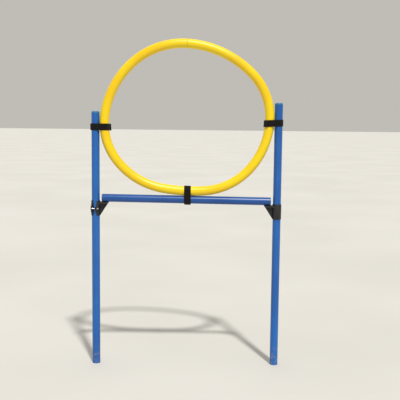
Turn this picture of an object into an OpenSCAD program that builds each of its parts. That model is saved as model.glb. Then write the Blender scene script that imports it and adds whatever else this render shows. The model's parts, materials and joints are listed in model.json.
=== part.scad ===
// Agility hurdle: two posts planted in the ground, a crossbar on two clamped brackets,
// and a jump-through hoop strapped to the posts and to the bar.
// X runs along the bar, Y through the hoop, Z up. The origin is on the ground, midway between the posts.

/* [Posts] */
// Outside diameter of each post
post_d = 30; // [26:0.5:36]
// Wall of each post's tube
post_wall = 2; // [1.5:0.5:3]
// Whole length of a post, from the top of its cap to the tip of its spike
post_length = 1150; // [1100:5:1200]
// Height of the left post's top above the ground
left_post_top = 964; // [950:1:1020]
// Height of the right post's top above the ground
right_post_top = 1001; // [950:1:1020]
// Height of the rounded head of a post cap
cap_head = 8; // [6:0.5:10]
// Radius of the rounded edge of a post cap
cap_edge_r = 5.5; // [3:0.5:6]
// How far the spike reaches below the post's tube
spike_reach = 130; // [110:5:140]
// Diameter of the ground spike
spike_d = 8; // [6:0.5:10]
// Length of the spike's point
spike_point = 22; // [15:1:30]

/* [Crossbar] */
// Outside diameter of the crossbar
bar_d = 30; // [26:0.5:32]
// Wall of the crossbar's tube
bar_wall = 2; // [1.5:0.5:3]
// Length of the crossbar over its end caps
bar_length = 637; // [620:1:645]

/* [Hoop] */
// Outside diameter of the hoop's tube
hoop_tube_d = 35; // [30:0.5:36]
// Wall of the hoop's tube
hoop_wall = 2.5; // [1.5:0.5:3.5]
// Direction from the hoop's middle to the joint of the tube's ends, in degrees from the +X side
hoop_seam_angle = 87; // [85:0.5:90]
// Turn of the hoop that is pressed flat on the crossbar, in degrees
hoop_flat_turn = 14; // [10:1:18]
// Bend radius of the flattened stretch
hoop_flat_r = 660; // [500:5:700]
// Length of the connector inside the tube, on each side of the joint
connector_reach = 45; // [30:1:60]

/* [Brackets] */
// Height of the left bracket's shelf above the ground
left_shelf_z = 624; // [615:0.5:635]
// Height of the right bracket's shelf above the ground
right_shelf_z = 616.5; // [610:0.5:630]
// How far a bracket reaches below its shelf
bracket_h = 52; // [50:1:60]
// How far its clip rises above the shelf
collar_rise = 5; // [2:0.5:6]
// Wall of the clip that holds the post
clip_wall = 1.8; // [1.5:0.1:3]
// Reach of the shelf from the post's axis
shelf_reach = 49; // [44:1:52]
// Width of the shelf, through the hurdle
shelf_w = 26; // [22:1:30]
// Depth of the rim that hangs from the shelf's edge
shelf_rim = 7.5; // [5:0.5:10]
// Diameter of the clamp screw
screw_d = 4; // [4:0.5:5]
// Depth of the clamp screw below the shelf
screw_drop = 24.5; // [22:0.5:27]

/* [Straps] */
// Width of the strap webbing
strap_w = 25; // [18:1:26]
// Thickness of one layer of webbing
strap_t = 2.4; // [1.5:0.1:3]
// Height of the middle of the left strap above the ground
left_strap_z = 905.5; // [880:0.5:925]
// Height of the middle of the right strap above the ground
right_strap_z = 926; // [880:0.5:945]
// Place of the bottom strap along the bar
bottom_strap_x = 4; // [-20:1:20]

/* [Hidden] */

$fn = 64;

LEFT = -1;
RIGHT = 1;

// clearances
running = 0.05;      // a bracket's bore on its post, on the radius
press = 0.02;        // a plug or shank in its hole, on the radius
soft_gap = 0.3;      // webbing round a post that it slides along
rest_gap = 0.3;      // the bar above its shelves
side_gap = 0.5;      // the hoop beside each post
overlap = 1;         // how far a cutter runs past what it cuts

post_r = post_d / 2;
post_bore_r = post_r - post_wall;
bar_r = bar_d / 2;
bar_bore_r = bar_r - bar_wall;
hoop_tube_r = hoop_tube_d / 2;
hoop_bore_r = hoop_tube_r - hoop_wall;
post_tube_length = post_length - cap_head - spike_reach;

// The hoop's centre line is a loop of tangent arcs, counter-clockwise from the joint: four, the flat
// stretch on the bar, and four more. The last two radii are worked out so that the loop closes.
hoop_turn = (360 - hoop_flat_turn) / 8;
hoop_turns = [for (k = [0:8]) k == 4 ? hoop_flat_turn : hoop_turn];
hoop_chosen_r = [280, 319, 222, 275, hoop_flat_r, 248, 287];

function total(list, count) = count == 0 ? 0 : list[count - 1] + total(list, count - 1);
function vector_sum(list, count) = count == 0 ? [0, 0] : list[count - 1] + vector_sum(list, count - 1);
function dir(a) = [cos(a), sin(a)];
function arc_start(k) = hoop_seam_angle + total(hoop_turns, k);

// step of the centre line over arc k, for a bend radius of 1
hoop_unit_steps = [for (k = [0:8]) dir(arc_start(k + 1)) - dir(arc_start(k))];
chosen_step = vector_sum([for (k = [0:6]) hoop_chosen_r[k] * hoop_unit_steps[k]], 7);
step_7 = hoop_unit_steps[7];
step_8 = hoop_unit_steps[8];
closing_det = step_7.x * step_8.y - step_8.x * step_7.y;
closing_r7 = (-chosen_step.x * step_8.y + step_8.x * chosen_step.y) / closing_det;
closing_r8 = (-step_7.x * chosen_step.y + chosen_step.x * step_7.y) / closing_det;
hoop_r = concat(hoop_chosen_r, [closing_r7, closing_r8]);

// joints between the arcs, from the seam at [0, 0], and the arcs' own centres
hoop_steps = [for (k = [0:8]) hoop_r[k] * hoop_unit_steps[k]];
hoop_joints = [for (k = [0:8]) vector_sum(hoop_steps, k)];
raw_centres = [for (k = [0:8]) hoop_joints[k] - hoop_r[k] * dir(arc_start(k))];

// arcs that hold the hoop's left side, its lowest point and its right side, below and above the middle
LEFT_ARC = 2;
FLAT_ARC = 4;
RIGHT_ARC = 6;
raw_left_x = raw_centres[LEFT_ARC].x - hoop_r[LEFT_ARC];
raw_right_x = raw_centres[RIGHT_ARC + 1].x + hoop_r[RIGHT_ARC + 1];
raw_bottom_z = raw_centres[FLAT_ARC].y - hoop_flat_r;
hoop_half_w = (raw_right_x - raw_left_x) / 2;

// the hoop fits between the posts, and it stands on the bar
post_x = hoop_half_w + hoop_tube_r + side_gap + post_r;
shelf_mid_x = post_x - (post_r + shelf_reach) / 2;
bar_slope = atan((left_shelf_z - right_shelf_z) / (2 * shelf_mid_x));
bar_z = (left_shelf_z + right_shelf_z) / 2 + rest_gap + bar_r / cos(bar_slope);
hoop_shift = [
    -(raw_left_x + raw_right_x) / 2,
    bar_z + (bar_r + hoop_tube_r) / cos(bar_slope) + press - raw_bottom_z
];
hoop_centres = [for (c = raw_centres) c + hoop_shift];

// place of the hoop's centre line at a given height, on its left or right side
function hoop_x(side, z) =
    let (k = side == LEFT ? LEFT_ARC : z < hoop_centres[RIGHT_ARC + 1].y ? RIGHT_ARC : RIGHT_ARC + 1)
    hoop_centres[k].x + side * sqrt(pow(hoop_r[k], 2) - pow(z - hoop_centres[k].y, 2));

// place of the hoop's centre line above the bottom strap, and of the bar's axis below it
flat_centre = hoop_centres[FLAT_ARC];
bottom_hoop_z = flat_centre.y - sqrt(pow(hoop_flat_r, 2) - pow(bottom_strap_x - flat_centre.x, 2));
bottom_bar_z = bar_z - bottom_strap_x * tan(bar_slope);

// Clamp screw of a bracket, across the mouth of its clip, from the post's axis and the shelf's height.
// Each ear stands on one side of the mouth, from one x to another.
clip_r = post_r + clip_wall;
screw_r = screw_d / 2;
screw_y = -(clip_r + screw_r + 1.5);
screw_z = -screw_drop;
ear_left = [-16, -11];
ear_right = [-1, 6.5];
ear_tip_y = screw_y - screw_r - 3;
screw_room = 0.1;    // the screw in its ears, on the radius
head_r = 4;
head_h = 3;
nut_r = 4.2;         // to its corners
nut_h = 4;
screw_proud = 1.5;   // the screw's end, past the nut

function post_top(side) = side == LEFT ? left_post_top : right_post_top;
function shelf_z(side) = side == LEFT ? left_shelf_z : right_shelf_z;
function strap_z(side) = side == LEFT ? left_strap_z : right_strap_z;

// ---- posts ----

module post_tube(side) {
    tube_top = post_top(side) - cap_head;
    translate([side * post_x, 0, tube_top - post_tube_length])
        difference() {
            cylinder(r = post_r, h = post_tube_length);
            translate([0, 0, -overlap])
                cylinder(r = post_bore_r, h = post_tube_length + 2 * overlap);
        }
}

// rounded head with a hollow skirt that goes inside the tube
module post_cap(side) {
    skirt = 18;
    skirt_wall = 2;
    translate([side * post_x, 0, post_top(side) - cap_head]) {
        rotate_extrude()
            union() {
                square([post_r, cap_head - cap_edge_r]);
                square([post_r - cap_edge_r, cap_head]);
                intersection() {
                    translate([post_r - cap_edge_r, cap_head - cap_edge_r])
                        circle(r = cap_edge_r);
                    square([post_r, cap_head]);
                }
            }
        translate([0, 0, -skirt])
            difference() {
                cylinder(r = post_bore_r - press, h = skirt);
                translate([0, 0, -overlap])
                    cylinder(r = post_bore_r - skirt_wall, h = skirt);
            }
    }
}

// plug in the foot of the post: a body inside the tube, a collar below it and a cone down to the spike
plug_body = 42;
plug_collar = 4;
plug_cone = 12;
tang_r = spike_d / 2 - 1;
tang_length = 36;

module at_foot(side) {
    translate([side * post_x, 0, post_top(side) - cap_head - post_tube_length]) children();
}

module spike_plug(side) {
    at_foot(side)
        difference() {
            union() {
                cylinder(r = post_bore_r - press, h = plug_body);
                translate([0, 0, -plug_collar]) cylinder(r = post_r, h = plug_collar);
                translate([0, 0, -plug_collar - plug_cone])
                    cylinder(r1 = spike_d / 2 + 2, r2 = post_r - 1.5, h = plug_cone);
            }
            translate([0, 0, -plug_collar - plug_cone - overlap])
                cylinder(r = tang_r + press, h = tang_length + overlap + press);
        }
}

// steel spike: a thinner tang in the plug, a round shank and a point
module ground_spike(side) {
    shank_top = -plug_collar - plug_cone;
    shank = spike_reach - plug_collar - plug_cone - spike_point;
    tip_r = 0.8;
    at_foot(side) {
        translate([0, 0, shank_top]) cylinder(r = tang_r, h = tang_length);
        translate([0, 0, shank_top - shank]) cylinder(r = spike_d / 2, h = shank);
        translate([0, 0, shank_top - shank - spike_point])
            cylinder(r1 = tip_r, r2 = spike_d / 2, h = spike_point);
    }
}

// ---- brackets ----

// The mouth of the clip, seen from the front, is widest at its two ends and narrow beside the screw.
mouth_end = [-8.5, 6];
mouth_neck = [-5, 2.5];
neck_half_h = 4;
mouth_outline = [
    [mouth_end[0], collar_rise + overlap], [mouth_end[1], collar_rise + overlap],
    [mouth_neck[1], screw_z + neck_half_h], [mouth_neck[1], screw_z - neck_half_h],
    [mouth_end[1], -bracket_h - overlap], [mouth_end[0], -bracket_h - overlap],
    [mouth_neck[0], screw_z - neck_half_h], [mouth_neck[0], screw_z + neck_half_h]
];

// an upright plate, drawn as seen from the front, centred on the hurdle's plane
module front_plate(points, thick) {
    translate([0, thick / 2, 0]) rotate([90, 0, 0]) linear_extrude(thick) polygon(points);
}

// an ear beside the mouth: its outline from above, tapered from the clip's wall to its tip
module clamp_ear(outline, foot_y, foot_half, tip_half) {
    intersection() {
        translate([0, 0, screw_z - foot_half]) linear_extrude(2 * foot_half) polygon(outline);
        translate([-post_d, 0, screw_z]) rotate([90, 0, 90]) linear_extrude(2 * post_d)
            polygon([
                [foot_y, foot_half], [ear_tip_y, tip_half], [ear_tip_y, -tip_half], [foot_y, -foot_half]
            ]);
    }
}

// the left ear is a flange along the clip's whole height, and it sinks the screw's head
module left_ear() {
    root_x = -clip_r + 0.9;         // inside the clip's wall
    root_y = -clip_r + 5;
    outline = [
        [root_x, 0], [ear_left[0], -8], [ear_left[0], ear_tip_y], [ear_left[1], ear_tip_y],
        [ear_left[1], root_y]
    ];
    difference() {
        clamp_ear(outline, 0, bracket_h - screw_drop, 5);
        translate([ear_left[0] - overlap, screw_y, screw_z]) rotate([0, 90, 0])
            cylinder(r = head_r + screw_room, h = head_h + overlap);
    }
}

// the right ear starts from the clip's front, and reaches over the mouth
module right_ear() {
    root_y = -post_r + 0.5;
    over_mouth_y = -clip_r - 0.7;
    outline = [
        [ear_right[0], over_mouth_y], [ear_right[0], ear_tip_y], [ear_right[1], ear_tip_y],
        [ear_right[1], root_y], [mouth_neck[1], root_y]
    ];
    clamp_ear(outline, -post_r, 6.5, 4.5);
}

// foot of the slope under the shelf
slope_foot = [clip_r - 0.5, -bracket_h];

// shelf with a rim that hangs from three of its edges, cut along the slope at its tip
module shelf() {
    plate = 3;
    rim_wall = 2;
    tip_r = 6;
    slope_top = [shelf_reach + 1.5, overlap];
    intersection() {
        difference() {
            translate([0, 0, -shelf_rim]) linear_extrude(shelf_rim)
                shelf_outline(shelf_w, shelf_reach, tip_r);
            translate([0, 0, -shelf_rim - overlap]) linear_extrude(shelf_rim - plate + overlap)
                shelf_outline(shelf_w - 2 * rim_wall, shelf_reach - rim_wall, tip_r - rim_wall);
        }
        front_plate([[0, overlap], slope_top, slope_foot, [0, -bracket_h]], shelf_w + 2 * overlap);
    }
}

module shelf_outline(width, reach, corner_r) {
    translate([0, -width / 2]) square([reach - corner_r, width]);
    translate([0, -width / 2 + corner_r]) square([reach, width - 2 * corner_r]);
    for (y = [-1, 1])
        translate([reach - corner_r, y * (width / 2 - corner_r)]) circle(r = corner_r);
}

// triangular web under the shelf, with a flange along its sloping edge
module gusset() {
    web = 3.5;
    flange_w = 16;
    flange_run = 3.4;               // along X, so that the flange is 2.8 thick across its slope
    inner = post_r - 2;
    flange_top = [shelf_reach - 1, -2];
    front_plate([[inner, 0], [shelf_reach - 2, 0], slope_foot, [inner, -bracket_h]], web);
    front_plate([
        flange_top, flange_top - [flange_run, 0], slope_foot - [flange_run, 0], slope_foot
    ], flange_w);
}

clip_h = bracket_h + collar_rise;

module bracket_moulding() {
    difference() {
        union() {
            difference() {
                translate([0, 0, -bracket_h]) cylinder(r = clip_r, h = clip_h);
                // the mouth is cut through the front wall only
                translate([0, -running, 0]) rotate([90, 0, 0]) linear_extrude(2 * clip_r)
                    polygon(mouth_outline);
            }
            shelf();
            gusset();
            left_ear();
            right_ear();
        }
        translate([0, 0, -bracket_h - overlap])
            cylinder(r = post_r + running, h = clip_h + 2 * overlap);
        translate([ear_left[0], screw_y, screw_z]) rotate([0, 90, 0])
            cylinder(r = screw_r + screw_room, h = ear_right[1] - ear_left[0] + overlap);
    }
}

// a bracket's place: the right one is the same moulding, turned half round
module at_bracket(side) {
    translate([side * post_x, 0, shelf_z(side)]) rotate([0, 0, side == LEFT ? 0 : 180]) children();
}

module clamp_screw(side) {
    end = ear_right[1] + nut_h + screw_proud;
    socket_r = 1.5;
    at_bracket(side) translate([ear_left[0], screw_y, screw_z]) rotate([0, 90, 0])
        difference() {
            union() {
                cylinder(r = head_r, h = head_h);
                cylinder(r = screw_r, h = end - ear_left[0]);
            }
            translate([0, 0, -overlap]) cylinder(r = socket_r, h = head_h / 2 + overlap, $fn = 6);
        }
}

module clamp_nut(side) {
    at_bracket(side) translate([ear_right[1], screw_y, screw_z]) rotate([0, 90, 0])
        difference() {
            cylinder(r = nut_r, h = nut_h, $fn = 6);
            translate([0, 0, -overlap]) cylinder(r = screw_r + press, h = nut_h + 2 * overlap);
        }
}

// ---- crossbar ----

bar_cap_rim = 2.5;

module along_bar() {
    translate([0, 0, bar_z]) rotate([0, 90 + bar_slope, 0]) children();
}

module bar_tube() {
    tube = bar_length - 2 * bar_cap_rim;
    along_bar() translate([0, 0, -tube / 2])
        difference() {
            cylinder(r = bar_r, h = tube);
            translate([0, 0, -overlap]) cylinder(r = bar_bore_r, h = tube + 2 * overlap);
        }
}

// end cap of the bar: a chamfered rim and a hollow skirt inside the tube
module bar_cap(side) {
    skirt = 16;
    skirt_wall = 2;
    chamfer = 1;
    along_bar() rotate([0, side == LEFT ? 180 : 0, 0]) translate([0, 0, bar_length / 2 - bar_cap_rim]) {
        cylinder(r = bar_r, h = bar_cap_rim - chamfer);
        translate([0, 0, bar_cap_rim - chamfer]) cylinder(r1 = bar_r, r2 = bar_r - chamfer, h = chamfer);
        translate([0, 0, -skirt])
            difference() {
                cylinder(r = bar_bore_r - press, h = skirt);
                translate([0, 0, -overlap]) cylinder(r = bar_bore_r - skirt_wall, h = skirt);
            }
    }
}

// ---- hoop ----

// a bend about the centre of arc k: a ring section swept from one direction to another
module hoop_bend(k, r_out, r_in, from, to) {
    translate([hoop_centres[k].x, 0, hoop_centres[k].y]) rotate([90, 0, 0])
        rotate([0, 0, from]) rotate_extrude(angle = to - from)
            translate([hoop_r[k], 0])
                difference() {
                    circle(r = r_out);
                    if (r_in > 0) circle(r = r_in);
                }
}

// The tube is one solid: every second bend has a slightly thinner wall, and its ends lap into the walls
// of the bends beside it. The ends of the whole tube stay a little apart at the joint.
module bent_tube() {
    seam_turn = 0.05;
    lap_turn = 0.3;
    thinning = 0.03;
    for (k = [0:8]) {
        lapped = k % 2;
        from = arc_start(k) - lapped * lap_turn + (k == 0 ? seam_turn : 0);
        to = arc_start(k + 1) + lapped * lap_turn - (k == 8 ? seam_turn : 0);
        hoop_bend(k, hoop_tube_r - lapped * thinning, hoop_bore_r + lapped * thinning, from, to);
    }
}

// plug that joins the tube's two ends from inside, bent to suit the two bends that meet there
module connector() {
    slack = 1;
    reach = connector_reach / hoop_r[0] * 180 / PI;
    hoop_bend(0, hoop_bore_r - slack, 0, hoop_seam_angle - reach, hoop_seam_angle + reach);
}

// ---- straps ----

// The outline that a tight band takes round two circles, at [0, 0] and at [gap, 0]. Its straight sides lie
// a hundredth of a millimetre inside the tangents, so that they cross the circles cleanly.
module band_outline(r_a, r_b, gap) {
    inside = 0.01;
    a = acos((r_a - r_b) / gap);
    end_a = r_a - inside;
    end_b = r_b - inside;
    circle(r = r_a);
    translate([gap, 0]) circle(r = r_b);
    polygon([
        end_a * dir(a), end_a * dir(-a), [gap, 0] + end_b * dir(-a), [gap, 0] + end_b * dir(a)
    ]);
}

// one layer of the band, from one distance off the two circles to another
module band_layer(r_a, r_b, gap, from, to) {
    difference() {
        band_outline(r_a + to, r_b + to, gap);
        band_outline(r_a + from, r_b + from, gap);
    }
}

strap_post_r = post_r + soft_gap;
strap_bar_r = bar_r + soft_gap;
strap_side_r = hoop_tube_r + 2;     // room for the hoop's slant over the strap's width
strap_low_r = hoop_tube_r + 0.6;    // room for its bend and the bar's slope
tab_inset = 1;                      // a tab is narrower than its strap, by this much on each edge

module at_side_strap(side) {
    translate([side * post_x, 0, strap_z(side) - strap_w / 2]) rotate([0, 0, side == LEFT ? 0 : 180])
        children();
}

function side_span(side) = abs(hoop_x(side, strap_z(side)) - side * post_x);

module side_strap(side) {
    at_side_strap(side) linear_extrude(strap_w)
        band_layer(strap_post_r, strap_side_r, side_span(side), 0, strap_t);
}

// second layer, on the outer face of the band: from the middle of the post round to the hoop's far side
module side_strap_tab(side) {
    front = side == LEFT ? -1 : 1;
    at_side_strap(side) translate([0, 0, tab_inset]) linear_extrude(strap_w - 2 * tab_inset)
        intersection() {
            band_layer(strap_post_r, strap_side_r, side_span(side), strap_t, 2 * strap_t);
            translate([0, front > 0 ? 0 : -post_d]) square([2 * post_d + hoop_tube_d, post_d]);
        }
}

module at_bottom_strap() {
    translate([bottom_strap_x - strap_w / 2, 0, bottom_bar_z]) rotate([90, 0, 90]) rotate([0, 0, 90])
        children();
}

low_span = bottom_hoop_z - bottom_bar_z;

module low_strap() {
    at_bottom_strap() linear_extrude(strap_w) band_layer(strap_bar_r, strap_low_r, low_span, 0, strap_t);
}

module low_strap_tab() {
    at_bottom_strap() translate([0, 0, tab_inset]) linear_extrude(strap_w - 2 * tab_inset)
        intersection() {
            band_layer(strap_bar_r, strap_low_r, low_span, strap_t, 2 * strap_t);
            translate([0, -bar_d]) square([bar_d + hoop_tube_d, bar_d]);
        }
}

// ---- sub-parts ----

BLUE = [0.13, 0.40, 0.72];
YELLOW = [0.98, 0.84, 0.08];
BLACK = [0.10, 0.10, 0.11];
WEBBING = [0.06, 0.05, 0.07];
STEEL = [0.72, 0.73, 0.75];

module left_post_tube() { color(BLUE) post_tube(LEFT); }
module right_post_tube() { color(BLUE) post_tube(RIGHT); }
module left_post_cap() { color(BLUE) post_cap(LEFT); }
module right_post_cap() { color(BLUE) post_cap(RIGHT); }
module left_spike_plug() { color(BLACK) spike_plug(LEFT); }
module right_spike_plug() { color(BLACK) spike_plug(RIGHT); }
module left_ground_spike() { color(STEEL) ground_spike(LEFT); }
module right_ground_spike() { color(STEEL) ground_spike(RIGHT); }
module left_bracket() { color(BLACK) at_bracket(LEFT) bracket_moulding(); }
module right_bracket() { color(BLACK) at_bracket(RIGHT) bracket_moulding(); }
module left_clamp_screw() { color(STEEL) clamp_screw(LEFT); }
module right_clamp_screw() { color(STEEL) clamp_screw(RIGHT); }
module left_clamp_nut() { color(STEEL) clamp_nut(LEFT); }
module right_clamp_nut() { color(STEEL) clamp_nut(RIGHT); }
module crossbar_tube() { color(BLUE) bar_tube(); }
module crossbar_left_cap() { color(BLUE) bar_cap(LEFT); }
module crossbar_right_cap() { color(BLUE) bar_cap(RIGHT); }
module hoop_tube() { color(YELLOW) bent_tube(); }
module hoop_connector() { color(BLACK) connector(); }
module left_strap() { color(WEBBING) side_strap(LEFT); }
module right_strap() { color(WEBBING) side_strap(RIGHT); }
module bottom_strap() { color(WEBBING) low_strap(); }
module left_strap_tab() { color(WEBBING) side_strap_tab(LEFT); }
module right_strap_tab() { color(WEBBING) side_strap_tab(RIGHT); }
module bottom_strap_tab() { color(WEBBING) low_strap_tab(); }

left_post_tube();
right_post_tube();
left_post_cap();
right_post_cap();
left_spike_plug();
right_spike_plug();
left_ground_spike();
right_ground_spike();
left_bracket();
right_bracket();
left_clamp_screw();
right_clamp_screw();
left_clamp_nut();
right_clamp_nut();
crossbar_tube();
crossbar_left_cap();
crossbar_right_cap();
hoop_tube();
hoop_connector();
left_strap();
right_strap();
bottom_strap();
left_strap_tab();
right_strap_tab();
bottom_strap_tab();
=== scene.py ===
import json
import math

import bmesh
import bpy
from mathutils import Matrix, Vector
from mathutils.bvhtree import BVHTree


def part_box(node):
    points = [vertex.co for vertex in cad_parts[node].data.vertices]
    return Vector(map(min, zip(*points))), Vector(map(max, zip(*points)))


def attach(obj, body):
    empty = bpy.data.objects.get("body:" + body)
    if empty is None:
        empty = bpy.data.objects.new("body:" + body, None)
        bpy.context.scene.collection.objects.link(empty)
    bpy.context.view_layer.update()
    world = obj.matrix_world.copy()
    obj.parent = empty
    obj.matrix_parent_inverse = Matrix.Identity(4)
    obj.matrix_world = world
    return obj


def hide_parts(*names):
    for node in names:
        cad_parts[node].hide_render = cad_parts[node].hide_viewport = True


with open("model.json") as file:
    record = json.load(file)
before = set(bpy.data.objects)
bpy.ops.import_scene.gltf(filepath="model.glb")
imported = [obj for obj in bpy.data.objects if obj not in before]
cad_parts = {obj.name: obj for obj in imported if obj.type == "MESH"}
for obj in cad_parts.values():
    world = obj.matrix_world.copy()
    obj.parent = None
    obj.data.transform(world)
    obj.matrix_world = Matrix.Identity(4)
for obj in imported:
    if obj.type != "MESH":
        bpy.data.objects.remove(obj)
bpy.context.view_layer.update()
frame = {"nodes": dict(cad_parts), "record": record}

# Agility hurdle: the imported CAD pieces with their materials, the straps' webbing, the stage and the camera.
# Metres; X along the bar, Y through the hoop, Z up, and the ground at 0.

MM = 0.001
NODES = frame["nodes"]
X_AXIS, Y_AXIS, Z_AXIS = 0, 1, 2


# ---------------------------------------------------------------- shader helpers

class Graph:
    """A material's node tree, with short calls for the nodes that the finishes share.

    Noise scales count per metre, because place is the object's coordinates in metres."""

    def __init__(self, name):
        self.material = bpy.data.materials.new(name)
        self.material.use_nodes = True
        self.tree = self.material.node_tree
        self.tree.nodes.clear()
        self.shader = self.node("ShaderNodeBsdfPrincipled")
        output = self.node("ShaderNodeOutputMaterial")
        self.link(self.shader.outputs["BSDF"], output.inputs["Surface"])
        self.place = self.node("ShaderNodeTexCoord").outputs["Object"]

    def node(self, kind, **settings):
        made = self.tree.nodes.new(kind)
        for key, value in settings.items():
            setattr(made, key, value)
        return made

    def link(self, source, target):
        self.tree.links.new(source, target)

    def feed(self, socket, value):
        """Puts a number, a colour or another node's output into a socket."""
        if isinstance(value, bpy.types.NodeSocket):
            self.link(value, socket)
        else:
            socket.default_value = value

    def stretch(self, scale, turn=(0, 0, 0)):
        """The object's coordinates, turned and scaled along each axis."""
        mapping = self.node("ShaderNodeMapping")
        self.link(self.place, mapping.inputs["Vector"])
        mapping.inputs["Scale"].default_value = scale
        mapping.inputs["Rotation"].default_value = turn
        return mapping.outputs["Vector"]

    def noise(self, vector, scale, detail, rough=0.5):
        texture = self.node("ShaderNodeTexNoise")
        self.link(vector, texture.inputs["Vector"])
        texture.inputs["Scale"].default_value = scale
        texture.inputs["Detail"].default_value = detail
        texture.inputs["Roughness"].default_value = rough
        return texture.outputs["Fac"]

    def ramp(self, value, low, high, to_low=0.0, to_high=1.0):
        """value, mapped from low..high to to_low..to_high with soft ends."""
        node = self.node("ShaderNodeMapRange", interpolation_type="SMOOTHSTEP")
        self.link(value, node.inputs["Value"])
        node.inputs["From Min"].default_value = low
        node.inputs["From Max"].default_value = high
        node.inputs["To Min"].default_value = to_low
        node.inputs["To Max"].default_value = to_high
        return node.outputs["Result"]

    def maths(self, operation, a, b):
        node = self.node("ShaderNodeMath", operation=operation)
        self.feed(node.inputs[0], a)
        self.feed(node.inputs[1], b)
        return node.outputs["Value"]

    def blend(self, factor, a, b):
        """Colour a where factor is 0, colour b where it is 1."""
        node = self.node("ShaderNodeMix", data_type="RGBA")
        self.feed(node.inputs["Factor"], factor)
        self.feed(node.inputs[6], a)
        self.feed(node.inputs[7], b)
        return node.outputs[2]

    def bump(self, height, distance, strength, under=None):
        node = self.node("ShaderNodeBump")
        node.inputs["Strength"].default_value = strength
        node.inputs["Distance"].default_value = distance
        self.link(height, node.inputs["Height"])
        if under is not None:
            self.link(under, node.inputs["Normal"])
        return node.outputs["Normal"]

    def split(self):
        """The object's coordinates as X, Y and Z outputs."""
        node = self.node("ShaderNodeSeparateXYZ")
        self.link(self.place, node.inputs["Vector"])
        return node.outputs


def colour(red, green, blue):
    """A colour given as the screen shows it, 0 to 255, as the shaders want it."""
    def linear(c):
        c /= 255
        return c / 12.92 if c <= 0.04045 else ((c + 0.055) / 1.055) ** 2.4

    return (linear(red), linear(green), linear(blue), 1.0)


# ---------------------------------------------------------------- materials

def streaks(along, lengthwise, crosswise):
    """Scales that draw a noise out into streaks: one along the given axis, another on the other two."""
    return tuple(lengthwise if axis == along else crosswise for axis in (X_AXIS, Y_AXIS, Z_AXIS))


def scratches(g, along, turn):
    """Fine, sparse scratches, mostly across the tube: 1 on a scratch, 0 elsewhere."""
    lines = g.noise(g.stretch(streaks(along, 900.0, 26.0), turn), 1.0, detail=1.0)
    patches = g.noise(g.place, 11.0, detail=2.0)
    fine = g.ramp(lines, 0.70, 0.76)
    return g.maths("MULTIPLY", fine, g.ramp(patches, 0.50, 0.66))


def tube_plastic(name, base, light, dark, along, rough, dust_height=None):
    """Extruded plastic tube: die lines along it, slight shade changes, scuffs, and dust near the ground."""
    g = Graph(name)
    die_lines = g.noise(g.stretch(streaks(along, 3.0, 330.0)), 1.0, detail=2.0)
    cloud = g.noise(g.place, 5.0, detail=3.0)
    speck = g.noise(g.place, 900.0, detail=2.0)
    scuff = scratches(g, along, (0.05, 0.04, 0.03))
    tone = g.blend(g.ramp(cloud, 0.35, 0.65), dark, base)
    tone = g.blend(g.ramp(die_lines, 0.55, 0.80, 0.0, 0.35), tone, light)
    tone = g.blend(g.maths("MULTIPLY", scuff, 0.45), tone, light)
    dull = g.ramp(cloud, 0.3, 0.7, rough - 0.04, rough + 0.08)
    dull = g.maths("ADD", dull, g.maths("MULTIPLY", scuff, 0.25))
    if dust_height:
        near_ground = g.ramp(g.split()["Z"], 0.0, dust_height, 1.0, 0.0)
        splash = g.noise(g.place, 70.0, detail=5.0, rough=0.65)
        dust = g.maths("MULTIPLY", near_ground, g.ramp(splash, 0.46, 0.66))
        tone = g.blend(g.maths("MULTIPLY", dust, 0.55), tone, colour(150, 136, 104))
        dull = g.maths("ADD", dull, g.maths("MULTIPLY", dust, 0.4))
    g.feed(g.shader.inputs["Base Color"], tone)
    g.feed(g.shader.inputs["Roughness"], dull)
    lines = g.bump(die_lines, 0.06 * MM, 0.6)
    grain = g.bump(speck, 0.03 * MM, 0.5, under=lines)
    g.feed(g.shader.inputs["Normal"], g.bump(scuff, 0.05 * MM, -0.5, under=grain))
    return g.material


def hoop_plastic(name, base, light, deep, middle_z):
    """Yellow tube bent into the hoop: die lines that follow it, a few scuffs, and paler worn patches."""
    g = Graph(name)
    x, y, z = g.split()
    round_hoop = g.maths("ARCTAN2", g.maths("SUBTRACT", z, middle_z), x)
    along = g.node("ShaderNodeCombineXYZ")
    g.feed(along.inputs["X"], g.maths("MULTIPLY", round_hoop, 1.2))
    g.feed(along.inputs["Y"], g.maths("MULTIPLY", y, 340.0))
    die_lines = g.noise(along.outputs["Vector"], 1.0, detail=2.0)
    cloud = g.noise(g.place, 7.0, detail=4.0)
    speck = g.noise(g.place, 900.0, detail=2.0)
    scuff = scratches(g, Y_AXIS, (0.3, 0.1, 0.2))
    worn = g.ramp(g.noise(g.place, 24.0, detail=5.0, rough=0.65), 0.58, 0.74)
    tone = g.blend(g.ramp(cloud, 0.35, 0.65), deep, base)
    tone = g.blend(g.ramp(die_lines, 0.55, 0.8, 0.0, 0.3), tone, light)
    tone = g.blend(g.maths("MULTIPLY", worn, 0.12), tone, light)
    tone = g.blend(g.maths("MULTIPLY", scuff, 0.35), tone, colour(214, 150, 20))
    g.feed(g.shader.inputs["Base Color"], tone)
    dull = g.maths("ADD", g.ramp(cloud, 0.3, 0.7, 0.30, 0.40), g.maths("MULTIPLY", worn, 0.12))
    g.feed(g.shader.inputs["Roughness"], dull)
    lines = g.bump(die_lines, 0.08 * MM, 0.6)
    g.feed(g.shader.inputs["Normal"], g.bump(speck, 0.03 * MM, 0.5, under=lines))
    return g.material


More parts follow.
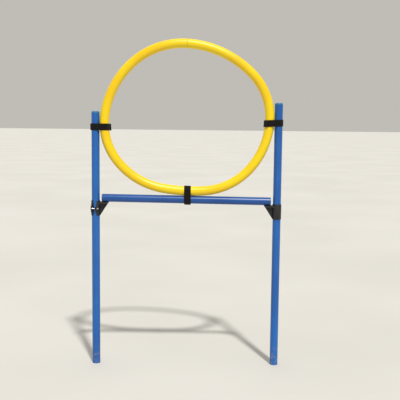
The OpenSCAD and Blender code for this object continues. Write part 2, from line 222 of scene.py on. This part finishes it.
def moulded_black(name, base, light):
    """Black moulded plastic: a fine spark-eroded grain, rubbed lighter and smoother in places."""
    g = Graph(name)
    grain = g.noise(g.place, 1500.0, detail=3.0, rough=0.6)
    rubbed = g.ramp(g.noise(g.place, 38.0, detail=5.0, rough=0.6), 0.50, 0.72)
    flow = g.noise(g.stretch((60.0, 60.0, 14.0)), 1.0, detail=2.0)
    tone = g.blend(g.ramp(flow, 0.3, 0.7), base, light)
    tone = g.blend(g.maths("MULTIPLY", rubbed, 0.35), tone, colour(62, 62, 64))
    g.feed(g.shader.inputs["Base Color"], tone)
    g.feed(g.shader.inputs["Roughness"], g.ramp(rubbed, 0.0, 1.0, 0.52, 0.40))
    g.feed(g.shader.inputs["Normal"], g.bump(grain, 0.05 * MM, 0.7))
    return g.material


def steel(name, base, along, rough, rust):
    """Drawn or plated steel: fine lines along it, and a few dull spots, which rust (0 to 1) turns brown."""
    g = Graph(name)
    lines = g.noise(g.stretch(streaks(along, 40.0, 1400.0)), 1.0, detail=2.0)
    spots = g.ramp(g.noise(g.place, 220.0, detail=5.0, rough=0.7), 0.56, 0.72)
    tone = g.blend(g.ramp(lines, 0.3, 0.7, 0.0, 0.5), base, colour(150, 150, 152))
    tone = g.blend(g.maths("MULTIPLY", spots, rust), tone, colour(112, 66, 38))
    g.feed(g.shader.inputs["Base Color"], tone)
    g.shader.inputs["Metallic"].default_value = 1.0
    g.feed(g.shader.inputs["Roughness"], g.maths("ADD", rough, g.maths("MULTIPLY", spots, 0.25)))
    g.feed(g.shader.inputs["Normal"], g.bump(lines, 0.03 * MM, 0.6))
    return g.material


def webbing(name, base, light):
    """Loop-faced webbing: a short matt nap over a fine cross weave, which follows the strip."""
    g = Graph(name)
    strip = g.node("ShaderNodeUVMap", uv_map="strip").outputs["UV"]

    def ribs(direction, scale, distortion):
        bands = g.node("ShaderNodeTexWave", wave_type="BANDS", bands_direction=direction)
        g.link(strip, bands.inputs["Vector"])
        bands.inputs["Scale"].default_value = scale
        bands.inputs["Distortion"].default_value = distortion
        return bands.outputs["Fac"]

    nap = g.noise(g.place, 2600.0, detail=4.0, rough=0.7)
    tufts = g.noise(g.place, 700.0, detail=3.0, rough=0.6)
    weave = g.maths("MULTIPLY", ribs("X", 260.0, 1.2), ribs("Y", 230.0, 1.5))
    height = g.maths("ADD", g.maths("MULTIPLY", weave, 0.8), g.maths("ADD", nap, tufts))
    tone = g.blend(g.ramp(tufts, 0.35, 0.7), base, light)
    lint = g.ramp(g.noise(g.place, 60.0, detail=3.0), 0.55, 0.75, 0.0, 0.3)
    tone = g.blend(lint, tone, colour(44, 41, 42))
    g.feed(g.shader.inputs["Base Color"], tone)
    g.shader.inputs["Roughness"].default_value = 0.92
    g.shader.inputs["Sheen Weight"].default_value = 0.05
    g.shader.inputs["Specular IOR Level"].default_value = 0.25
    g.shader.inputs["Sheen Roughness"].default_value = 0.5
    g.feed(g.shader.inputs["Normal"], g.bump(height, 0.35 * MM, 0.9))
    return g.material


def thread(name, base):
    """Polyester sewing thread, a little uneven in shade and height from its twist."""
    g = Graph(name)
    twist = g.noise(g.place, 3200.0, detail=2.0)
    tone = g.blend(g.ramp(twist, 0.35, 0.65), base, colour(70, 68, 71))
    g.feed(g.shader.inputs["Base Color"], tone)
    g.shader.inputs["Roughness"].default_value = 0.6
    g.feed(g.shader.inputs["Normal"], g.bump(twist, 0.1 * MM, 0.8))
    return g.material


def floor_finish():
    """Plain pale floor with a faint unevenness."""
    g = Graph("floor")
    cloud = g.noise(g.place, 0.8, detail=2.0)
    tone = g.blend(g.ramp(cloud, 0.3, 0.7), colour(196, 195, 190), colour(202, 201, 197))
    g.feed(g.shader.inputs["Base Color"], tone)
    g.shader.inputs["Roughness"].default_value = 0.85
    return g.material


HOOP_LOW, HOOP_HIGH = (Vector(corner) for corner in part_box("hoop_tube"))
HOOP_MIDDLE_Z = (HOOP_LOW.z + HOOP_HIGH.z) / 2
HOOP_TUBE_R = (HOOP_HIGH.y - HOOP_LOW.y) / 2

POST_BLUE = tube_plastic("post_blue", colour(16, 94, 172), colour(64, 134, 202), colour(10, 82, 158),
                         Z_AXIS, rough=0.34, dust_height=0.10)
BAR_BLUE = tube_plastic("bar_blue", colour(16, 76, 148), colour(78, 134, 200), colour(10, 66, 136),
                        X_AXIS, rough=0.30)
CAP_BLUE = tube_plastic("cap_blue", colour(38, 110, 158), colour(84, 146, 188), colour(32, 100, 146),
                        Z_AXIS, rough=0.36)
HOOP_YELLOW = hoop_plastic("hoop_yellow", colour(234, 203, 0), colour(242, 219, 24), colour(232, 192, 0),
                           HOOP_MIDDLE_Z)
BRACKET_BLACK = moulded_black("bracket_black", colour(16, 17, 19), colour(26, 27, 30))
PLUG_BLACK = moulded_black("plug_black", colour(34, 34, 36), colour(46, 46, 48))
SPIKE_STEEL = steel("spike_steel", colour(186, 188, 192), Z_AXIS, rough=0.30, rust=0.5)
SCREW_STEEL = steel("screw_steel", colour(214, 216, 220), X_AXIS, rough=0.24, rust=0.08)
WEBBING = webbing("strap_webbing", colour(5, 4, 6), colour(17, 15, 17))
THREAD = thread("strap_thread", colour(34, 32, 35))

FINISH = {
    "post_blue": POST_BLUE, "cap_blue": CAP_BLUE, "bar_blue": BAR_BLUE, "hoop_yellow": HOOP_YELLOW,
    "bracket_black": BRACKET_BLACK, "plug_black": PLUG_BLACK, "spike_steel": SPIKE_STEEL,
    "screw_steel": SCREW_STEEL, "strap_webbing": WEBBING, "hook_tape": WEBBING,
}


EDGE_R = 0.4 * MM
SAME_POINT = 0.01 * MM    # points closer than this are one
SHARP_FROM = math.radians(35)


def soften_edges(piece):
    """Breaks a piece's sharp edges, as a mould or a tumbler does."""
    weld = piece.modifiers.new("weld", "WELD")
    weld.merge_threshold = SAME_POINT
    bevel = piece.modifiers.new("bevel", "BEVEL")
    bevel.width = EDGE_R
    bevel.segments = 2
    bevel.limit_method = "ANGLE"
    bevel.angle_limit = SHARP_FROM
    bevel.use_clamp_overlap = True


def finish_cad_nodes():
    """Each CAD node takes its slot's material, and the brackets and their screws lose their sharp edges."""
    slots = {part["node"]: part["material_slot"] for part in frame["record"]["subparts"]}
    for name, piece in NODES.items():
        piece.data.materials.clear()
        piece.data.materials.append(FINISH[slots[name]])
        if slots[name] in ("bracket_black", "screw_steel"):
            soften_edges(piece)


# ---------------------------------------------------------------- straps

STRAP_LOW, STRAP_HIGH = (Vector(corner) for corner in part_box("left_strap"))
STRAP_W = STRAP_HIGH.z - STRAP_LOW.z
STRAP_T = 2.2 * MM
STRAP_GAP = 0.25 * MM       # air under the first layer
SELVEDGE_R = 0.9 * MM
NEXT_ROW_DROP = 0.12 * MM   # the face's drop at the row beside a selvedge
WIDTH_ROWS = 12             # points across the width

# A strap's length is counted in stations.
SECTION = 40                # stations round each of the belt's two circles
RUN = 14                    # stations along each of its straight runs
BELT = 2 * SECTION + 2 * RUN
STATION_LENGTH = 1.45 * MM
CLIMB = 6                   # stations over which the tail climbs on to the first layer
TAIL_LIFT = 9               # last stations, over which the tail stands off
TAIL_DROOP = 16             # last stations, over which it drifts to one side

# Two slow waves run along the webbing: height, and radians at a station.
LONG_WAVE, LONG_TURN = 0.12 * MM, 0.41
SHORT_WAVE, SHORT_TURN = 0.08 * MM, 0.93

# Where a side strap meets the hoop, and where its slant is whole, as shares of its post's distance.
HOOP_SHARE = 0.905
SLANT_SHARE = 0.9

# Reach of the rays that find the tubes beside a post, and above and below the bar.
SIDE_RAY = 60 * MM
BOTTOM_RAY = 30 * MM

# The sewn box on a strap's tail: stations from its end, and rows in from its edges.
SEWN_FROM = 13
SEWN_TO = 3
ROW_INSET = 1.4

THREAD_R = 0.28 * MM
STITCH_PITCH = 2.6 * MM
# Share of a stitch's length, and the thread's height there over the face. Both ends dip into the strip.
STITCH_PROFILE = ((0.10, -0.25 * MM), (0.26, 0.16 * MM), (0.5, 0.22 * MM), (0.74, 0.16 * MM),
                  (0.90, -0.25 * MM))

TREES = {name: BVHTree.FromObject(NODES[name], bpy.context.evaluated_depsgraph_get())
         for name in ("left_post_tube", "right_post_tube", "crossbar_tube", "hoop_tube")}


def round_section(tree, at, axis, reach):
    """Middle and half width of a tube where a line through at, along axis, crosses it."""
    step = Vector(axis)
    near = tree.ray_cast(Vector(at) - step * reach, step)[0]
    far = tree.ray_cast(Vector(at) + step * reach, -step)[0]
    return (near + far) / 2, (far - near).length / 2


def belt(centre_a, r_a, centre_b, r_b):
    """Points round a tight belt about two circles, as (point, outward normal) in the belt's own plane.

    It starts on circle a, at its far side from b, and runs counter-clockwise."""
    step = centre_b - centre_a
    span = step.length
    ahead = step / span
    aside = Vector((-ahead.y, ahead.x))
    open_angle = math.acos((r_a - r_b) / span)

    def normal(angle):
        return ahead * math.cos(angle) + aside * math.sin(angle)

    half = SECTION // 2
    stations = []
    for k in range(half):
        n = normal(math.pi + (math.pi - open_angle) * k / half)
        stations.append((centre_a + n * r_a, n))
    n = normal(-open_angle)
    for k in range(RUN):
        stations.append(((centre_a + n * r_a).lerp(centre_b + n * r_b, k / RUN), n))
    for k in range(SECTION):
        n = normal(-open_angle + 2 * open_angle * k / SECTION)
        stations.append((centre_b + n * r_b, n))
    n = normal(open_angle)
    for k in range(RUN):
        stations.append(((centre_b + n * r_b).lerp(centre_a + n * r_a, k / RUN), n))
    for k in range(half):
        n = normal(open_angle + (math.pi - open_angle) * k / half)
        stations.append((centre_a + n * r_a, n))
    return stations


def smooth(x):
    x = min(1.0, max(0.0, x))
    return x * x * (3 - 2 * x)


class Strap:
    """A strip of webbing wound once round two tubes, with its tail lapped over its own start.

    rows gives, for each place across the width, that place and the belt's stations; to_world takes a point
    of the belt's plane, and a place across, into the world. first is the station where the strip's inner
    end lies, turn (1 or -1) is the way it winds, lap is how many stations the tail covers, lift is how far
    its end stands off, and droop is how far it drifts across."""

    def __init__(self, rows, to_world, first, turn, lap, lift, droop):
        self.rows = rows
        self.to_world = to_world
        self.count = len(rows[0][1])
        self.first = first
        self.turn = turn
        self.total = self.count + lap
        self.lift = lift
        self.droop = droop

    def height(self, k):
        """Height of the strip's middle layer over the tubes at station k."""
        layer = smooth((k - (self.count - CLIMB)) / CLIMB)
        tail = max(0.0, (k - (self.total - TAIL_LIFT)) / TAIL_LIFT)
        ripple = LONG_WAVE * math.sin(k * LONG_TURN + self.first) + SHORT_WAVE * math.sin(k * SHORT_TURN)
        return STRAP_T * (0.5 + layer) + STRAP_GAP + ripple * (0.4 + layer) + self.lift * tail * tail

    def place(self, row, k, above):
        """World point over row at station k (a fraction is allowed), above the strip's middle layer."""
        w, stations = self.rows[row]
        low = math.floor(k)
        part = k - low
        here, n0 = stations[(self.first + self.turn * low) % self.count]
        then, n1 = stations[(self.first + self.turn * (low + 1)) % self.count]
        point = here.lerp(then, part)
        normal = n0.lerp(n1, part).normalized()
        tail = max(0.0, (k - (self.total - TAIL_DROOP)) / TAIL_DROOP)
        point = point + normal * (self.height(k) + above)
        return self.to_world(point, w - self.droop * tail * tail)

    def length_to(self, k):
        """Length of the strip up to station k, near enough for its weave."""
        return k * STATION_LENGTH

    def across(self):
        """The strip's section, as (row, height over its middle) all the way round."""
        last = len(self.rows) - 1
        drops = {0: SELVEDGE_R, 1: NEXT_ROW_DROP}
        face = [(j, STRAP_T / 2 - drops.get(min(j, last - j), 0.0)) for j in range(last + 1)]
        back = [(j, -h) for j, h in reversed(face)]
        return face + back

    def mesh(self, name, material):
        build = bmesh.new()
        strip = build.loops.layers.uv.new("strip")
        section = self.across()
        rings = [[build.verts.new(self.place(j, k, h)) for j, h in section] for k in range(self.total)]
        size = len(section)
        along = [self.length_to(k) for k in range(self.total)]
        width = [self.rows[j][0] for j, _ in section]
        for k in range(self.total - 1):
            for j in range(size):
                nxt = (j + 1) % size
                face = build.faces.new((rings[k][j], rings[k + 1][j], rings[k + 1][nxt], rings[k][nxt]))
                face.smooth = True
                for loop, (a, b) in zip(face.loops, ((k, j), (k + 1, j), (k + 1, nxt), (k, nxt))):
                    loop[strip].uv = (along[a], width[b])
        for ring in (rings[0], rings[-1]):
            build.faces.new(ring)
        bmesh.ops.recalc_face_normals(build, faces=build.faces)
        mesh = bpy.data.meshes.new(name)
        build.to_mesh(mesh)
        build.free()
        mesh.materials.append(material)
        obj = bpy.data.objects.new(name, mesh)
        bpy.context.scene.collection.objects.link(obj)
        return obj

    def stitches(self, name, material, lines):
        """Sewn threads: short rounded stitches on the strip's outer face.

        Each line is ((station, row), (station, row))."""
        curve = bpy.data.curves.new(name, "CURVE")
        curve.dimensions = "3D"
        curve.bevel_depth = THREAD_R
        curve.bevel_resolution = 2
        curve.use_fill_caps = True
        for (k0, j0), (k1, j1) in lines:
            start = self.on_face(k0, j0, 0)
            end = self.on_face(k1, j1, 0)
            number = max(2, round((end - start).length / STITCH_PITCH))
            for i in range(number):
                points = []
                for f, rise in STITCH_PROFILE:
                    g = (i + f) / number
                    points.append(self.on_face(k0 + (k1 - k0) * g, j0 + (j1 - j0) * g, rise))
                spline = curve.splines.new("POLY")
                spline.points.add(len(points) - 1)
                for slot, point in zip(spline.points, points):
                    slot.co = (*point, 1)
        curve.materials.append(material)
        obj = bpy.data.objects.new(name, curve)
        bpy.context.scene.collection.objects.link(obj)
        return obj

    def on_face(self, k, j, rise):
        """Point on the strip's outer face, at a station and a row that may be fractions."""
        low = min(int(j), len(self.rows) - 2)
        above = STRAP_T / 2 + rise
        return self.place(low, k, above).lerp(self.place(low + 1, k, above), j - low)


def side_rows(side, height, slant):
    """Belts round a post and the hoop, for each place across the strap, and their way into the world.

    slant is how far the strap rises from the post to the hoop."""
    post_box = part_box(f"{side}_post_tube")
    post_x = (post_box[0][0] + post_box[1][0]) / 2
    rows = []
    for k in range(WIDTH_ROWS):
        w = STRAP_W * (k / (WIDTH_ROWS - 1) - 0.5)
        z = height + w
        post, post_r = round_section(TREES[f"{side}_post_tube"], (post_x, 0, z), (1, 0, 0), SIDE_RAY)
        hoop, hoop_r = round_section(TREES["hoop_tube"], (post_x * HOOP_SHARE, 0, z), (1, 0, 0), SIDE_RAY)
        a = Vector((post.x, 0.0))
        b = Vector((hoop.x, 0.0))
        rows.append((w, belt(a, post_r, b, hoop_r)))

    slant_x = SLANT_SHARE * post_x

    def to_world(point, w):
        lean = slant * (point.x - post_x) / (slant_x - post_x)
        return Vector((point.x, point.y, height + w + lean))

    return rows, to_world


def bottom_rows(x):
    """Belts round the bar and the hoop, for each place across the strap, and their way into the world."""
    bar_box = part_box("crossbar_tube")
    bar_z = (bar_box[0][2] + bar_box[1][2]) / 2
    hoop_z = HOOP_LOW.z + HOOP_TUBE_R
    rows = []
    for k in range(WIDTH_ROWS):
        w = STRAP_W * (k / (WIDTH_ROWS - 1) - 0.5)
        bar, bar_r = round_section(TREES["crossbar_tube"], (x + w, 0, bar_z), (0, 0, 1), BOTTOM_RAY)
        hoop, hoop_r = round_section(TREES["hoop_tube"], (x + w, 0, hoop_z), (0, 0, 1), BOTTOM_RAY)
        a = Vector((0.0, bar.z))
        b = Vector((0.0, hoop.z))
        rows.append((w, belt(a, bar_r, b, hoop_r)))

    def to_world(point, w):
        return Vector((x + w, point.x, point.y))

    return rows, to_world


def centre_of(node):
    low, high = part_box(node)
    return (Vector(low) + Vector(high)) / 2


def add_strap(side, strap):
    """The webbing and its sewn end, riding with the hoop: a stitched box with one diagonal."""
    body = strap.mesh(f"{side}_strap_webbing", WEBBING)
    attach(body, "hoop_and_bar")
    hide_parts(f"{side}_strap", f"{side}_strap_tab")
    start = strap.total - SEWN_FROM
    end = strap.total - SEWN_TO
    low = ROW_INSET
    high = WIDTH_ROWS - 1 - ROW_INSET
    seams = [((start, low), (end, low)), ((end, low), (end, high)), ((end, high), (start, high)),
             ((start, high), (start, low)), ((start, low), (end, high))]
    thread_piece = strap.stitches(f"{side}_strap_stitches", THREAD, seams)
    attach(thread_piece, "hoop_and_bar")


def add_straps():
    """The left strap's long tail stands off; the other two lie almost flat."""
    left_rows, left_world = side_rows("left", centre_of("left_strap").z, 0.0)
    left = Strap(left_rows, left_world, first=8, turn=-1, lap=62, lift=4.0 * MM, droop=1.2 * MM)
    add_strap("left", left)
    right_rows, right_world = side_rows("right", centre_of("right_strap").z, -1.5 * MM)
    right = Strap(right_rows, right_world, first=16, turn=1, lap=54, lift=1.0 * MM, droop=1.5 * MM)
    add_strap("right", right)
    low_rows, low_world = bottom_rows(centre_of("bottom_strap").x)
    low = Strap(low_rows, low_world, first=BELT - 12, turn=1, lap=58, lift=1.2 * MM, droop=-0.8 * MM)
    add_strap("bottom", low)


add_straps()
finish_cad_nodes()


# ---------------------------------------------------------------- stage, lights and camera

FLOOR_HALF = 120.0    # reaches the horizon in every view


def stage_floor():
    mesh = bpy.data.meshes.new("floor")
    build = bmesh.new()
    bmesh.ops.create_grid(build, x_segments=8, y_segments=8, size=FLOOR_HALF)
    build.to_mesh(mesh)
    build.free()
    floor = bpy.data.objects.new("floor", mesh)
    mesh.materials.append(floor_finish())
    bpy.context.scene.collection.objects.link(floor)


# The key light stands in front of the hurdle, a little to the right, and high. The fill light is weak and
# very soft, and stands behind the hurdle.
KEY_HEADING = math.radians(-72.5)
KEY_HEIGHT = math.radians(54.5)
FILL_HEADING = math.radians(115)
FILL_HEIGHT = math.radians(40)


def sun_light(name, heading, height, strength, softness, tint):
    """A far light from a heading, counted from +X towards +Y, and a height above the horizon.

    softness is how wide the light looks, in degrees."""
    data = bpy.data.lights.new(name, "SUN")
    data.energy = strength
    data.angle = math.radians(softness)
    data.color = tint
    lamp = bpy.data.objects.new(name, data)
    level = math.cos(height)
    source = Vector((level * math.cos(heading), level * math.sin(heading), math.sin(height)))
    lamp.rotation_euler = source.to_track_quat("Z", "Y").to_euler()
    bpy.context.scene.collection.objects.link(lamp)


def world_light(tint, strength):
    world = bpy.data.worlds.new("studio")
    world.use_nodes = True
    background = world.node_tree.nodes["Background"]
    background.inputs["Color"].default_value = tint
    background.inputs["Strength"].default_value = strength
    bpy.context.scene.world = world


# The photograph's camera stands 2.7 m in front of the hurdle, a little right of its middle, at about
# the hoop's height, tipped down and rolled by a fraction of a degree.
CAMERA_PLACE = (0.0515, -2.7435, 0.9175)
CAMERA_DOWN = math.radians(5.893)
CAMERA_ROLL = math.radians(0.605)
CAMERA_LENS = 65.7


def stand_camera():
    data = bpy.data.cameras.new("camera")
    data.lens = CAMERA_LENS
    data.sensor_width = 36.0
    camera = bpy.data.objects.new("camera", data)
    aim = Matrix.Rotation(math.radians(90) - CAMERA_DOWN, 4, "X")
    roll = Matrix.Rotation(CAMERA_ROLL, 4, "Z")
    camera.matrix_world = Matrix.Translation(CAMERA_PLACE) @ aim @ roll
    bpy.context.scene.collection.objects.link(camera)
    bpy.context.scene.camera = camera


stage_floor()
world_light(colour(240, 237, 229), strength=0.60)
sun_light("key", KEY_HEADING, KEY_HEIGHT, strength=3.1, softness=4.0, tint=(1.0, 0.97, 0.93))
sun_light("fill", FILL_HEADING, FILL_HEIGHT, strength=0.45, softness=75.0, tint=(1.0, 1.0, 1.0))
stand_camera()
bpy.context.scene.view_settings.view_transform = "Standard"
